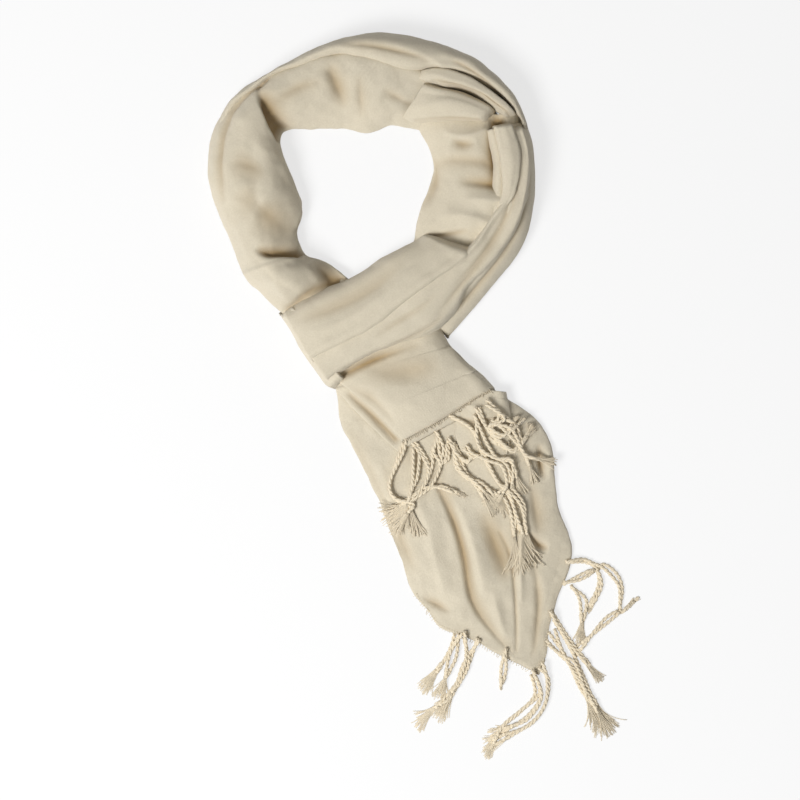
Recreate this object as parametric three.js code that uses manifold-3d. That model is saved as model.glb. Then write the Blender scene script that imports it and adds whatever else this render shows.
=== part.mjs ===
// A fringed stole, folded in half, curled into a neck loop and pulled through its own fold, lying flat.
// Millimetres, +Z up. The cloth rests on the plane z = 0.
import * as THREE from "three";
import { mergeVertices } from "three/addons/utils/BufferGeometryUtils.js";
import Module from "manifold-3d";

const wasm = await Module();
wasm.setup();

const LOOP_CENTRE = [-49, 164]; // middle of the neck hole, in plan
const CLEARANCE = 0.5; // room kept between layers that touch
const STEPS_PER_ROW = 2; // stations lofted between two rows of a table
const CLOTH_COLOUR = 0xccc1ae;
const YARN_COLOUR = 0xbeac92;
const CLOTH_ROUGHNESS = 0.85;

// Heights are given at these fractions of the way across a stretch of cloth.
const HEIGHT_AT = [0.1, 0.3, 0.5, 0.7, 0.9];
const HEIGHTS = ["inner", "innerMid", "crown", "outerMid", "outer"];
// Where a stretch is widest, as a part of its edge height.
const WIDEST_AT = 0.45;

// Stretches of the neck loop: both edges in degrees and radius about the loop's middle.
const LOOP_COLUMNS = ["innerAngle", "innerRadius", "outerAngle", "outerRadius", "base", ...HEIGHTS];
// Straight stretches: both edges as points in plan.
const PLAN_COLUMNS = ["innerX", "innerY", "outerX", "outerY", "base", ...HEIGHTS];

// Each stretch of cloth, from the topmost layer down. tuck is how far the underside draws in from the edges.
const STRETCHES = [
  {
    name: "band_upper",
    columns: PLAN_COLUMNS,
    tuck: 3,
    rows: [
      [-111, 69, -89, 31, 23, 27, 30, 31, 32, 31],
      [-97, 79, -75, 38, 23, 28, 32, 33, 34, 33],
      [-80, 88, -58, 46, 23, 28, 33, 34, 35, 34],
      [-63, 95, -40, 56, 22, 28, 33, 35, 36, 35],
      [-46, 104, -20, 72, 20, 27, 32, 35, 37, 36],
      [-31, 114, -2, 86, 16, 26, 32, 35, 37, 37],
      [-16, 122, 13, 97, 10, 24, 31, 34, 36, 37],
      [-5, 128, 28, 107, 0, 22, 29, 33, 35, 36],
      [1, 133, 43, 121, 0, 22, 27, 31, 34, 36],
    ],
  },
  {
    name: "band_lower",
    columns: PLAN_COLUMNS,
    tuck: 2,
    rows: [
      [-86, 29, -76, 15, 22, 28, 29, 29, 28, 26],
      [-64, 43, -58, 26, 22, 31, 32, 32, 30, 27],
      [-41, 55, -36, 37, 21, 32, 33, 33, 31, 27],
      [-20, 71, -13, 44, 20, 33, 34, 34, 32, 27],
      [-2, 85, 7, 52, 18, 34, 35, 34, 32, 26],
      [14, 97, 25, 68, 12, 34, 34, 33, 31, 27],
      [30, 107, 35, 88, 0, 34, 33, 32, 31, 28],
      [44, 121, 50, 102, 0, 34, 32, 32, 31, 29],
      [54, 136, 63, 117, 0, 33, 31, 31, 31, 30],
      [64, 148, 74, 135, 0, 33, 32, 32, 32, 31],
      [74, 160, 80, 153, 0, 33, 33, 32, 32, 31],
      [79, 180, 84, 175, 0, 33, 33, 32, 32, 30],
      [79, 197, 84, 197, 0, 33, 32, 32, 31, 30],
      [72, 219, 78, 220, 0, 33, 32, 31, 30, 29],
    ],
  },
  {
    name: "band_turn",
    columns: PLAN_COLUMNS,
    tuck: 3,
    rows: [
      [-104, 76, -115, 68, 0, 25, 24, 22, 19, 14],
      [-92, 60, -104, 51, 0, 28, 28, 26, 22, 16],
      [-86, 48, -98, 40, 0, 29, 29, 27, 23, 17],
      [-76, 34, -88, 26, 0, 28, 28, 26, 22, 16],
      [-67, 22, -78, 12, 0, 25, 24, 23, 19, 13],
      [-61, 16, -70, 8, 0, 22, 21, 19, 16, 11],
    ],
  },
  {
    name: "right_roll",
    columns: PLAN_COLUMNS,
    tuck: 2,
    rows: [
      [54, 218, 70, 221, 0, 32, 34, 35, 34, 32],
      [57, 200, 78, 198, 0, 33, 36, 37, 36, 33],
      [60, 185, 78, 184, 0, 33, 36, 37, 36, 33],
      [61, 172, 76, 171, 0, 32, 35, 36, 35, 33],
      [60, 160, 72, 160, 0, 31, 33, 34, 34, 33],
      [54, 148, 63, 149, 0, 29, 31, 33, 33, 32],
    ],
  },
  {
    name: "outer_roll",
    columns: LOOP_COLUMNS,
    tuck: 4,
    rows: [
      [126, 117, 126, 121, 0, 20, 22, 22, 21, 18],
      [116, 110, 117, 120, 0, 24, 28, 29, 27, 20],
      [108, 110, 108, 121, 0, 26, 30, 31, 28, 21],
      [100, 110, 100, 123, 0, 27, 32, 33, 30, 22],
      [92, 105, 91, 126, 0, 29, 34, 35, 32, 23],
      [84, 102, 83, 129, 0, 31, 35, 36, 33, 24],
      [74, 100, 74, 131, 0, 31, 35, 36, 33, 24],
      [66, 104, 66, 133, 0, 30, 34, 35, 32, 24],
      [58, 116, 58, 136, 0, 30, 33, 34, 31, 24],
      [50, 123, 50, 140, 0, 30, 33, 33, 30, 24],
      [42, 128, 42, 142, 0, 29, 32, 32, 29, 24],
      [34, 134, 34, 144, 0, 28, 30, 30, 28, 23],
      [26, 138, 26, 143, 0, 26, 27, 27, 25, 22],
      [21, 137, 21, 142, 0, 24, 25, 25, 24, 21],
    ],
  },
  {
    name: "second_roll",
    columns: LOOP_COLUMNS,
    tuck: 2,
    rows: [
      [66, 99, 66, 105, 0, 26, 27, 27, 27, 26],
      [58, 102, 59, 116, 0, 29, 31, 32, 31, 29],
      [52, 105, 53, 122, 0, 30, 33, 33, 32, 30],
      [46, 112, 47, 126, 0, 31, 34, 34, 33, 31],
      [40, 118, 40, 130, 0, 31, 34, 34, 33, 31],
      [33, 123, 33, 135, 0, 30, 33, 33, 32, 30],
      [26, 131, 26, 139, 0, 28, 30, 31, 30, 28],
    ],
  },
  {
    name: "back_flap",
    columns: LOOP_COLUMNS,
    tuck: 2,
    rows: [
      [62, 66, 60, 102, 0, 17, 24, 26, 27, 27],
      [52, 71, 53, 106, 0, 21, 27, 29, 29, 28],
      [43, 81, 46, 113, 0, 25, 29, 31, 30, 28],
      [35, 97, 38, 120, 0, 27, 31, 31, 30, 28],
      [29, 112, 31, 126, 0, 28, 31, 31, 30, 28],
    ],
  },
  {
    name: "left_pillow",
    columns: LOOP_COLUMNS,
    tuck: 5,
    rows: [
      [221, 72, 206, 113, 0, 17, 22, 24, 23, 16],
      [228, 66, 214, 115, 0, 20, 29, 33, 30, 20],
      [237, 62, 224, 113, 0, 19, 29, 33, 30, 19],
      [247, 62, 234, 113, 0, 17, 25, 28, 25, 16],
      [257, 66, 243, 118, 5.5, 14, 19, 21, 19, 13],
      [266, 74, 250, 126, 5.5, 12, 17, 19, 18, 12],
    ],
  },
  {
    name: "left_turn",
    columns: LOOP_COLUMNS,
    tuck: 6,
    rows: [
      [146, 80, 128, 121, 0, 22, 26, 28, 27, 20],
      [151, 73, 141, 127, 0, 24, 31, 34, 32, 22],
      [162, 61, 155, 129, 0, 24, 33, 36, 34, 24],
      [172, 54, 164, 127, 0, 24, 34, 37, 35, 25],
      [184, 50, 175, 122, 0, 24, 34, 37, 35, 25],
      [198, 51, 188, 118, 0, 23, 33, 36, 34, 24],
      [210, 58, 200, 116, 0, 21, 30, 34, 32, 22],
      [219, 70, 210, 115, 0, 16, 25, 28, 26, 18],
      [228, 70, 218, 113, 0, 10, 16, 18, 17, 12],
    ],
  },
  {
    name: "back_turn",
    columns: LOOP_COLUMNS,
    tuck: 6,
    rows: [
      [152, 84, 136, 117, 0, 12, 17, 20, 21, 18],
      [142, 82, 129, 118, 0, 14, 20, 24, 26, 22],
      [129, 66, 119, 116, 0, 14, 22, 27, 29, 26],
      [117, 58, 109, 115, 0, 14, 23, 28, 30, 28],
      [105, 53, 99, 114, 0, 14, 23, 28, 31, 29],
      [91, 48, 89, 110, 0, 14, 23, 28, 31, 29],
      [79, 51, 78, 107, 0, 14, 23, 28, 30, 28],
      [67, 59, 67, 107, 0, 14, 22, 26, 27, 26],
      [55, 64, 55, 107, 0, 12, 17, 20, 21, 21],
      [46, 70, 48, 107, 0, 9, 12, 14, 15, 15],
    ],
  },
  {
    name: "right_turn",
    columns: PLAN_COLUMNS,
    tuck: 5,
    rows: [
      [-8, 229, 60, 227, 0, 12, 16, 18, 18, 18],
      [-3, 216, 60, 213, 0, 14, 20, 22, 23, 22],
      [5, 199, 63, 200, 0, 14, 21, 24, 24, 22],
      [8, 184, 66, 186, 0, 14, 21, 24, 25, 23],
      [4, 170, 68, 172, 0, 14, 22, 25, 27, 25],
      [-1, 157, 68, 160, 0, 14, 22, 26, 28, 28],
      [-4, 145, 62, 148, 0, 14, 22, 26, 28, 30],
      [-6, 134, 58, 138, 0, 14, 21, 26, 29, 31],
      [-9, 122, 50, 124, 0, 12, 16, 19, 21, 22],
    ],
  },
  {
    name: "rim_fold",
    columns: PLAN_COLUMNS,
    tuck: 3,
    rows: [
      [6, 58, 20, 49, 0, 12, 13, 13, 12, 9],
      [16, 70, 33, 64, 0, 16, 17, 17, 15, 11],
      [28, 86, 46, 80, 0, 19, 21, 21, 18, 13],
      [44, 101, 61, 97, 0, 23, 25, 25, 22, 15],
      [58, 117, 75, 116, 0, 26, 27, 26, 23, 16],
      [70, 134, 84, 136, 0, 28, 28, 27, 24, 18],
      [77, 153, 88, 155, 0, 28, 28, 27, 24, 18],
      [80, 175, 89, 174, 0, 28, 28, 27, 24, 18],
      [79, 197, 88, 199, 0, 27, 27, 26, 23, 18],
      [74, 219, 82, 221, 0, 26, 26, 25, 22, 17],
    ],
  },
  {
    name: "short_hem_flap",
    columns: PLAN_COLUMNS,
    tuck: 1,
    rows: [
      [58, 6, 33, -9, 13, 16, 18, 18, 17, 16],
      [72, 0, 44, -20, 13, 17, 19, 19, 18, 16],
      [84, -6, 58, -30, 13, 17, 19, 19, 18, 16],
      [91, -14, 72, -34, 13, 15, 16, 16, 16, 15],
    ],
  },
  {
    name: "short_tail",
    columns: PLAN_COLUMNS,
    tuck: 2,
    rows: [
      [-82, 48, 0, 82, 13.5, 17, 20, 21, 20, 16],
      [-76, 30, 12, 60, 13.5, 18, 21, 21, 20, 17],
      [-71, 17, 20, 45, 13.5, 18, 21, 22, 21, 18],
      [-58, 7, 28, 34, 13.5, 18, 21, 20, 21, 18],
      [-42, -6, 39, 25, 13.5, 18, 20, 20, 20, 18],
      [-30, -20, 49, 17, 13.5, 17, 19, 19, 19, 17],
      [-17, -34, 57, 8, 13.5, 16, 17, 17, 17, 16],
    ],
  },
  {
    name: "short_tail_under",
    columns: PLAN_COLUMNS,
    tuck: 1,
    rows: [
      [-76, 34, 4, 62, 9.5, 12, 13, 13, 13, 12],
      [-73, 14, 18, 40, 9.5, 12, 13, 13, 13, 12],
      [-62, 0, 26, 28, 9.5, 12, 13, 13, 13, 12],
      [-50, -13, 36, 18, 9.5, 12, 13, 13, 13, 12],
      [-34, -29, 46, 8, 9.5, 12, 13, 13, 13, 12],
      [-20, -42, 54, -2, 9.5, 12, 13, 13, 13, 12],
    ],
  },
  {
    name: "short_fringe_left",
    columns: PLAN_COLUMNS,
    tuck: 1,
    rows: [
      [-14, -31, 4, -22, 13, 16, 18, 18, 18, 16],
      [-17, -58, 14, -48, 12, 15, 17, 17, 17, 15],
      [-19, -80, 8, -74, 10.5, 13, 15, 15, 15, 13],
      [-20, -102, -1, -98, 9.5, 12, 14, 14, 14, 12],
      [-20, -118, 1, -120, 9, 11, 12, 12, 12, 11],
    ],
  },
  {
    name: "short_fringe_middle",
    columns: PLAN_COLUMNS,
    tuck: 1,
    rows: [
      [6, -20, 30, -6, 13, 16, 18, 18, 18, 16],
      [17, -48, 44, -34, 12, 15, 18, 18, 18, 15],
      [20, -66, 52, -56, 11, 14, 17, 17, 17, 14],
      [26, -80, 58, -74, 10, 13, 14, 14, 14, 13],
    ],
  },
  {
    name: "short_fringe_right",
    columns: PLAN_COLUMNS,
    tuck: 1,
    rows: [
      [50, -24, 84, -12, 13, 16, 18, 18, 18, 16],
      [54, -52, 100, -46, 15, 18, 20, 20, 20, 18],
      [64, -78, 88, -78, 14, 17, 19, 19, 19, 17],
      [72, -108, 90, -106, 13, 16, 18, 18, 18, 16],
      [74, -134, 96, -132, 12, 15, 17, 17, 17, 15],
      [76, -156, 94, -160, 11, 13, 15, 15, 15, 13],
    ],
  },
  {
    name: "under_band",
    columns: PLAN_COLUMNS,
    tuck: 1,
    rows: [
      [-104, 74, -70, 18, 0, 4, 5, 5, 5, 4],
      [-86, 82, -52, 30, 0, 4, 5, 5, 5, 4],
      [-64, 92, -20, 46, 0, 4, 5, 5, 5, 4],
      [-38, 108, 6, 58, 0, 4, 5, 5, 5, 4],
      [-14, 122, 18, 70, 0, 4, 5, 5, 5, 4],
    ],
  },
  {
    name: "long_tail_left",
    columns: PLAN_COLUMNS,
    tuck: 2,
    rows: [
      [-80, 44, -24, 64, 5.5, 9, 11, 12, 12, 11],
      [-72, 22, -12, 36, 5.5, 9, 10, 10, 10, 9],
      [-69, 4, -6, 10, 0, 7, 9, 9, 9, 8],
      [-66, -17, 0, -12, 0, 7, 9, 9, 9, 8],
      [-55, -38, 4, -34, 0, 7, 9, 9, 9, 9],
      [-43, -64, 9, -62, 0, 7, 9, 9, 9, 9],
      [-35, -81, 17, -80, 0, 7, 9, 9, 9, 9],
      [-27, -104, 25, -104, 0, 6, 8, 8, 9, 9],
      [-17, -129, 32, -128, 0, 6, 7, 8, 8, 8],
      [-8, -155, 40, -153, 0, 5, 7, 7, 7, 7],
      [1, -167, 44, -170, 0, 5, 6, 6, 6, 6],
      [20, -184, 47, -184, 0, 4, 5, 5, 5, 5],
    ],
  },
  {
    name: "long_tail_middle",
    columns: PLAN_COLUMNS,
    tuck: 1,
    rows: [
      [-24, 64, 12, 62, 5.5, 9, 11, 12, 11, 9],
      [-12, 36, 20, 40, 5.5, 8, 9, 9, 9, 8],
      [-6, 10, 40, 12, 0, 7, 9, 9, 9, 8],
      [0, -12, 58, -14, 0, 7, 9, 9, 9, 8],
      [4, -34, 62, -38, 0, 7, 9, 9, 9, 8],
      [9, -62, 62, -66, 0, 6, 9, 10, 10, 9],
      [17, -80, 63, -88, 0, 6, 9, 11, 11, 9],
      [25, -104, 65, -108, 0, 6, 10, 12, 11, 8],
      [32, -128, 70, -128, 0, 6, 10, 12, 10, 7],
      [40, -153, 73, -155, 0, 5, 9, 10, 9, 7],
      [47, -184, 74, -186, 0, 4, 7, 8, 7, 6],
      [58, -192, 74, -204, 0, 4, 5, 6, 5, 5],
    ],
  },
  {
    name: "long_tail_right",
    columns: PLAN_COLUMNS,
    tuck: 2,
    rows: [
      [42, 8, 62, 4, 0, 7, 8, 9, 8, 6],
      [56, -14, 86, -13, 0, 7, 9, 11, 10, 7],
      [62, -38, 101, -40, 0, 7, 10, 12, 11, 8],
      [62, -66, 105, -66, 0, 8, 11, 12, 11, 8],
      [63, -88, 109, -90, 0, 8, 11, 12, 11, 8],
      [65, -108, 117, -114, 0, 8, 10, 12, 11, 8],
      [70, -128, 116, -132, 0, 7, 10, 11, 10, 7],
      [73, -155, 110, -155, 0, 7, 9, 10, 9, 6],
      [74, -186, 101, -184, 0, 6, 8, 8, 8, 6],
      [75, -205, 98, -206, 0, 5, 7, 7, 7, 5],
      [83, -216, 92, -221, 0, 4, 5, 5, 5, 4],
    ],
  },
  {
    name: "long_fringe_left",
    columns: PLAN_COLUMNS,
    tuck: 1,
    rows: [
      [27, -180, 46, -178, 0, 4, 5, 5, 5, 4],
      [20, -210, 46, -208, 0, 4, 6, 6, 6, 4],
      [10, -230, 34, -230, 0, 4, 6, 7, 6, 4],
      [-2, -252, 30, -250, 0, 4, 6, 7, 6, 4],
      [-5, -271, 21, -273, 0, 3, 4, 4, 4, 3],
    ],
  },
  {
    name: "long_fringe_middle",
    columns: PLAN_COLUMNS,
    tuck: 1,
    rows: [
      [80, -208, 97, -200, 0, 3, 4, 4, 4, 3],
      [86, -236, 99, -234, 0, 4, 6, 6, 6, 4],
      [72, -254, 96, -254, 0, 4, 6, 7, 6, 4],
      [56, -270, 86, -272, 0, 4, 6, 7, 6, 4],
      [48, -287, 62, -289, 0, 3, 4, 4, 4, 3],
    ],
  },
  {
    name: "long_fringe_right",
    columns: PLAN_COLUMNS,
    tuck: 1,
    rows: [
      [97, -168, 111, -138, 0, 4, 5, 6, 5, 4],
      [112, -192, 130, -170, 0, 4, 6, 6, 6, 4],
      [118, -214, 138, -206, 0, 4, 6, 7, 6, 4],
      [126, -240, 144, -238, 0, 4, 6, 7, 6, 4],
      [124, -266, 154, -262, 0, 3, 4, 4, 4, 3],
    ],
  },
  {
    name: "long_fringe_side",
    columns: PLAN_COLUMNS,
    tuck: 1,
    rows: [
      [112, -140, 113, -116, 0, 4, 6, 6, 6, 4],
      [132, -160, 140, -130, 0, 5, 8, 9, 8, 5],
      [140, -176, 156, -136, 0, 5, 8, 10, 8, 5],
      [152, -174, 166, -150, 0, 4, 6, 7, 6, 4],
      [162, -168, 171, -160, 0, 3, 4, 4, 4, 3],
    ],
  },
];

// One value between the two middle ones of four, on a Catmull-Rom curve.
function between(before, from, to, after, t) {
  const slopeIn = (to - before) / 2;
  const slopeOut = (after - from) / 2;
  const bend = 2 * (from - to) + slopeIn + slopeOut;
  return from + slopeIn * t + (3 * (to - from) - 2 * slopeIn - slopeOut) * t * t + bend * t * t * t;
}

// The rows of a table with smooth stations worked out between them.
function stations(rows) {
  const made = [];
  const rowAt = (index) => rows[Math.min(Math.max(index, 0), rows.length - 1)];
  for (let row = 0; row < rows.length - 1; row++) {
    for (let step = 0; step < STEPS_PER_ROW; step++) {
      const t = step / STEPS_PER_ROW;
      made.push(rowAt(row).map((value, column) =>
        between(rowAt(row - 1)[column], value, rowAt(row + 1)[column], rowAt(row + 2)[column], t)));
    }
  }
  made.push(rowAt(rows.length - 1));
  return made;
}

// A point about the middle of the neck hole.
function aroundLoop(degrees, radius) {
  const angle = THREE.MathUtils.degToRad(degrees);
  return new THREE.Vector2(
    LOOP_CENTRE[0] + radius * Math.cos(angle),
    LOOP_CENTRE[1] + radius * Math.sin(angle),
  );
}

// Both edges of a stretch at one station, in plan.
function edges(station, columns) {
  if (columns === LOOP_COLUMNS) {
    return [aroundLoop(station[0], station[1]), aroundLoop(station[2], station[3])];
  }
  return [new THREE.Vector2(station[0], station[1]), new THREE.Vector2(station[2], station[3])];
}

// A closed outline, counted anticlockwise, moved outwards everywhere by the same distance.
function swollen(points, grow) {
  return points.map((point, index) => {
    const before = points.at(index - 1);
    const after = points[(index + 1) % points.length];
    const normalIn = new THREE.Vector2(point.y - before.y, before.x - point.x).normalize();
    const normalOut = new THREE.Vector2(after.y - point.y, point.x - after.x).normalize();
    const miter = normalIn.add(normalOut).normalize();
    return point.clone().addScaledVector(miter, grow / Math.max(miter.dot(normalOut), 0.5));
  });
}

// The closed outline of one station: underside edge, widest point, heights across, and down again.
function outline(station, columns, tuck, grow) {
  const [inner, outer] = edges(station, columns);
  const width = inner.distanceTo(outer);
  const across = outer.clone().sub(inner).divideScalar(width);
  const base = Math.max(station[4], 0);
  const heights = station.slice(5);
  const side = (height) => base + WIDEST_AT * (height - base);
  const section = [
    [tuck, base],
    [0, side(heights[0])],
    ...HEIGHT_AT.map((fraction, index) => [fraction * width, heights[index]]),
    [width, side(heights.at(-1))],
    [width - tuck, base],
  ].map(([along, height]) => new THREE.Vector2(along, height)).reverse();
  return (grow > 0 ? swollen(section, grow) : section).map(({ x, y }) => {
    const spot = inner.clone().addScaledVector(across, x);
    return new THREE.Vector3(spot.x, spot.y, y);
  });
}

// The first and last outline moved away from the rest of the stretch.
function lengthened(outlines, grow) {
  const shift = (end, next) => {
    const away = end[0].clone().add(end.at(-1)).sub(next[0]).sub(next.at(-1)).setZ(0).setLength(grow);
    return end.map((point) => point.clone().add(away));
  };
  const longer = [...outlines];
  longer[0] = shift(outlines[0], outlines[1]);
  longer[longer.length - 1] = shift(outlines.at(-1), outlines.at(-2));
  return longer;
}

// A closed solid through outlines of equal point counts, with flat ends.
function loft(outlines) {
  const count = outlines[0].length;
  const triangles = [];
  const add = (a, b, c) => triangles.push(...a.toArray(), ...b.toArray(), ...c.toArray());
  for (let row = 0; row < outlines.length - 1; row++) {
    for (let point = 0; point < count; point++) {
      const next = (point + 1) % count;
      const [a, b] = [outlines[row][point], outlines[row][next]];
      const [c, d] = [outlines[row + 1][point], outlines[row + 1][next]];
      add(a, b, d);
      add(a, d, c);
    }
  }
  const [first, last] = [outlines[0], outlines.at(-1)];
  for (let point = 1; point < count - 1; point++) {
    add(first[0], first[point + 1], first[point]);
    add(last[0], last[point], last[point + 1]);
  }
  const geometry = new THREE.BufferGeometry();
  geometry.setAttribute("position", new THREE.Float32BufferAttribute(triangles, 3));
  return mergeVertices(geometry, 1e-4);
}

// The manifold solid of a geometry, turned so that its faces point out.
function solidOf(geometry) {
  const vertProperties = geometry.attributes.position.array;
  const triVerts = new Uint32Array(geometry.index.array);
  const made = new wasm.Manifold(new wasm.Mesh({ numProp: 3, vertProperties, triVerts }));
  if (made.volume() > 0) {
    return made;
  }
  for (let corner = 0; corner < triVerts.length; corner += 3) {
    [triVerts[corner + 1], triVerts[corner + 2]] = [triVerts[corner + 2], triVerts[corner + 1]];
  }
  return new wasm.Manifold(new wasm.Mesh({ numProp: 3, vertProperties, triVerts }));
}

function stretchSolid({ rows, columns, tuck }, grow) {
  const outlines = stations(rows).map((station) => outline(station, columns, tuck, grow));
  return solidOf(loft(grow > 0 ? lengthened(outlines, grow) : outlines));
}

// The largest of a solid's separate bodies.
function mainBody(solid) {
  return solid.decompose().sort((a, b) => b.volume() - a.volume())[0];
}

function geometryOf(solid) {
  const { vertProperties, triVerts } = solid.getMesh();
  const geometry = new THREE.BufferGeometry();
  geometry.setAttribute("position", new THREE.Float32BufferAttribute(vertProperties, 3));
  geometry.setIndex(new THREE.Uint32BufferAttribute(triVerts, 1));
  return geometry;
}

// Each stretch makes room for the ones above it, so that the layers lie on each other without touching.
const cloth = new THREE.MeshStandardMaterial({ color: CLOTH_COLOUR, roughness: CLOTH_ROUGHNESS, metalness: 0 });
const yarn = new THREE.MeshStandardMaterial({ color: YARN_COLOUR, roughness: CLOTH_ROUGHNESS, metalness: 0 });
const stole = new THREE.Group();
const above = [];
for (const stretch of STRETCHES) {
  let solid = stretchSolid(stretch, 0);
  for (const upper of above) {
    solid = solid.subtract(upper);
  }
  above.push(stretchSolid(stretch, CLEARANCE));
  const material = stretch.name.includes("fringe") ? yarn : cloth;
  const mesh = new THREE.Mesh(geometryOf(mainBody(solid)), material);
  mesh.name = stretch.name;
  stole.add(mesh);
}

// The part's origin is under the middle of its box.
const box = new THREE.Box3().setFromObject(stole);
const middle = box.getCenter(new THREE.Vector3());
stole.position.set(-middle.x, -middle.y, -box.min.z);

export default stole;
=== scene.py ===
import math
import random

import bmesh
import bpy
import numpy as np
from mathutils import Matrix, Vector, noise
from mathutils.bvhtree import BVHTree


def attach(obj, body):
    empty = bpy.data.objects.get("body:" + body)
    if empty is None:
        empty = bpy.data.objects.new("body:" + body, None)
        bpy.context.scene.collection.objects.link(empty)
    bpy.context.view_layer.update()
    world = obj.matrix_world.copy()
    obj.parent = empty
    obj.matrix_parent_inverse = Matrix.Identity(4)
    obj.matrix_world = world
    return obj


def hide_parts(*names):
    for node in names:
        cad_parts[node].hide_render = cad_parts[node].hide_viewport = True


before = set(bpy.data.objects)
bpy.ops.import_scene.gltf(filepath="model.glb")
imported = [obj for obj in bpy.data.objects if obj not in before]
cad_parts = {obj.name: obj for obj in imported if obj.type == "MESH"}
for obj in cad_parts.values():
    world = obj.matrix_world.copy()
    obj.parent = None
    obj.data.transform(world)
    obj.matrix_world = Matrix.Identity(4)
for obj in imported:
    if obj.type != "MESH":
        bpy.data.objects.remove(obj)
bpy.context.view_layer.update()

mm = 0.001
scene = bpy.context.scene

# the camera looks straight down on the laid-out stole, a little left of its middle
viewing = {"left": 18.6 * mm, "back": 1.9 * mm, "field": 0.640, "lens": 135, "sensor": 36}

cameraData = bpy.data.cameras.new("camera")
cameraData.lens = viewing["lens"]
cameraData.sensor_width = viewing["sensor"]
cameraData.clip_end = 20
camera = bpy.data.objects.new("camera", cameraData)
scene.collection.objects.link(camera)
cameraHeight = viewing["field"] * viewing["lens"] / viewing["sensor"]
camera.location = (-viewing["left"], -viewing["back"], cameraHeight)
scene.camera = camera
print("camera ready")


# shader maths is written as expressions on these
class Wire:
    def __init__(self, socket):
        self.socket = socket

    def maths(self, operation, first, second=None):
        made = self.socket.id_data.nodes.new("ShaderNodeMath")
        made.operation = operation
        for slot, value in zip(made.inputs, (first, second)):
            if isinstance(value, Wire):
                self.socket.id_data.links.new(value.socket, slot)
            elif value is not None:
                slot.default_value = value
        return Wire(made.outputs[0])

    def __add__(self, other):
        return self.maths("ADD", self, other)

    def __sub__(self, other):
        return self.maths("SUBTRACT", self, other)

    def __rsub__(self, other):
        return self.maths("SUBTRACT", other, self)

    def __mul__(self, other):
        return self.maths("MULTIPLY", self, other)

    __radd__ = __add__
    __rmul__ = __mul__


class Finish:
    def __init__(self, name):
        self.material = bpy.data.materials.new(name)
        self.material.use_nodes = True
        self.tree = self.material.node_tree
        self.tree.nodes.clear()

    # settings are set first, then each socket takes a value or a link
    def node(self, kind, settings=None, inputs=None):
        made = self.tree.nodes.new(kind)
        for key, value in (settings or {}).items():
            setattr(made, key, value)
        for key, value in (inputs or {}).items():
            if isinstance(value, Wire):
                self.tree.links.new(value.socket, made.inputs[key])
            else:
                made.inputs[key].default_value = value
        return made

    def wire(self, kind, output, settings=None, inputs=None):
        return Wire(self.node(kind, settings, inputs).outputs[output])


def clothFinish(name, look):
    finish = Finish(name)
    uv = finish.wire("ShaderNodeTexCoord", "UV")
    place = finish.wire("ShaderNodeTexCoord", "Object")
    nap = finish.wire("ShaderNodeTexNoise", "Fac", None,
                      {"Vector": place, "Scale": 1 / look["nap"], "Detail": 3.0, "Roughness": 0.6})
    cloud = finish.wire("ShaderNodeTexNoise", "Fac", None,
                        {"Vector": place, "Scale": 1 / look["cloud"], "Detail": 2.0, "Roughness": 0.5})
    wobble = finish.wire("ShaderNodeTexNoise", "Color", None,
                         {"Vector": uv, "Scale": 1 / look["slub"], "Detail": 1.0})
    bent = finish.wire("ShaderNodeVectorMath", 0, {"operation": "MULTIPLY_ADD"},
                       {0: wobble, 1: (look["stray"],) * 3, 2: uv})
    threads = {}
    for way in ("X", "Y"):
        threads[way] = finish.wire("ShaderNodeTexWave", "Fac",
                                   {"wave_type": "BANDS", "bands_direction": way, "wave_profile": "SIN"},
                                   {"Vector": bent, "Scale": 1 / (look["thread"] * math.pi)})
    weave = threads["X"] * threads["Y"]
    shade = nap * look["napShade"] + weave * look["threadShade"] + cloud * look["cloudShade"]
    offset = (look["napShade"] + look["cloudShade"]) * 0.5 + look["threadShade"] * 0.25
    tone = shade - offset + 0.5
    colour = finish.wire("ShaderNodeMix", 2, {"data_type": "RGBA", "clamp_factor": True},
                         {0: tone, 6: (*look["dark"], 1), 7: (*look["pale"], 1)})
    # painted shade: the colour is mixed towards a warm dark tan, more where a crease is deeper
    paintedCreaseShade = finish.wire("ShaderNodeAttribute", "Fac", {"attribute_name": "paintedCreaseShade"})
    colour = finish.wire("ShaderNodeMix", 2, {"data_type": "RGBA", "clamp_factor": True},
                         {0: paintedCreaseShade * look["paintedShadeShare"], 6: colour, 7: (*look["paintedCreaseShade"], 1)})
    height = nap * look["napHeight"] + weave * look["threadHeight"]
    bump = finish.wire("ShaderNodeBump", "Normal", None,
                       {"Height": height, "Strength": look["bump"], "Distance": look["bumpDepth"]})
    shader = finish.node("ShaderNodeBsdfPrincipled", None,
                         {"Base Color": colour, "Normal": bump, "Roughness": look["roughness"],
                          "Specular IOR Level": look["specular"], "Sheen Weight": look["sheen"],
                          "Sheen Roughness": look["sheenRoughness"], "Sheen Tint": (*look["sheenTint"], 1)})
    finish.node("ShaderNodeOutputMaterial", None, {"Surface": Wire(shader.outputs[0])})
    return finish.material


clothLook = {
    "dark": (0.58, 0.505, 0.36),  # thread in the hollows of the weave, linear
    "pale": (0.95, 0.87, 0.71),  # raised nap, linear
    "paintedCreaseShade": (0.46, 0.33, 0.17), "paintedShadeShare": 1.2,  # painted shade: a warm dark colour mixed into the creases
    "nap": 1.4 * mm, "napShade": 0.45, "napHeight": 0.7,
    "cloud": 38 * mm, "cloudShade": 0.10,
    "slub": 9 * mm, "stray": 0.0006,
    "thread": 0.9 * mm, "threadShade": 0.22, "threadHeight": 0.7,
    "bump": 0.8, "bumpDepth": 0.6 * mm,
    "roughness": 0.82, "specular": 0.25,
    "sheen": 0.35, "sheenRoughness": 0.45, "sheenTint": (1.0, 0.96, 0.9),
}
clothMaterial = clothFinish("wovenCloth", clothLook)
yarnLook = {**clothLook, "dark": (0.58, 0.48, 0.32), "pale": (0.94, 0.84, 0.66), "bumpDepth": 0.2 * mm}
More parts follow.
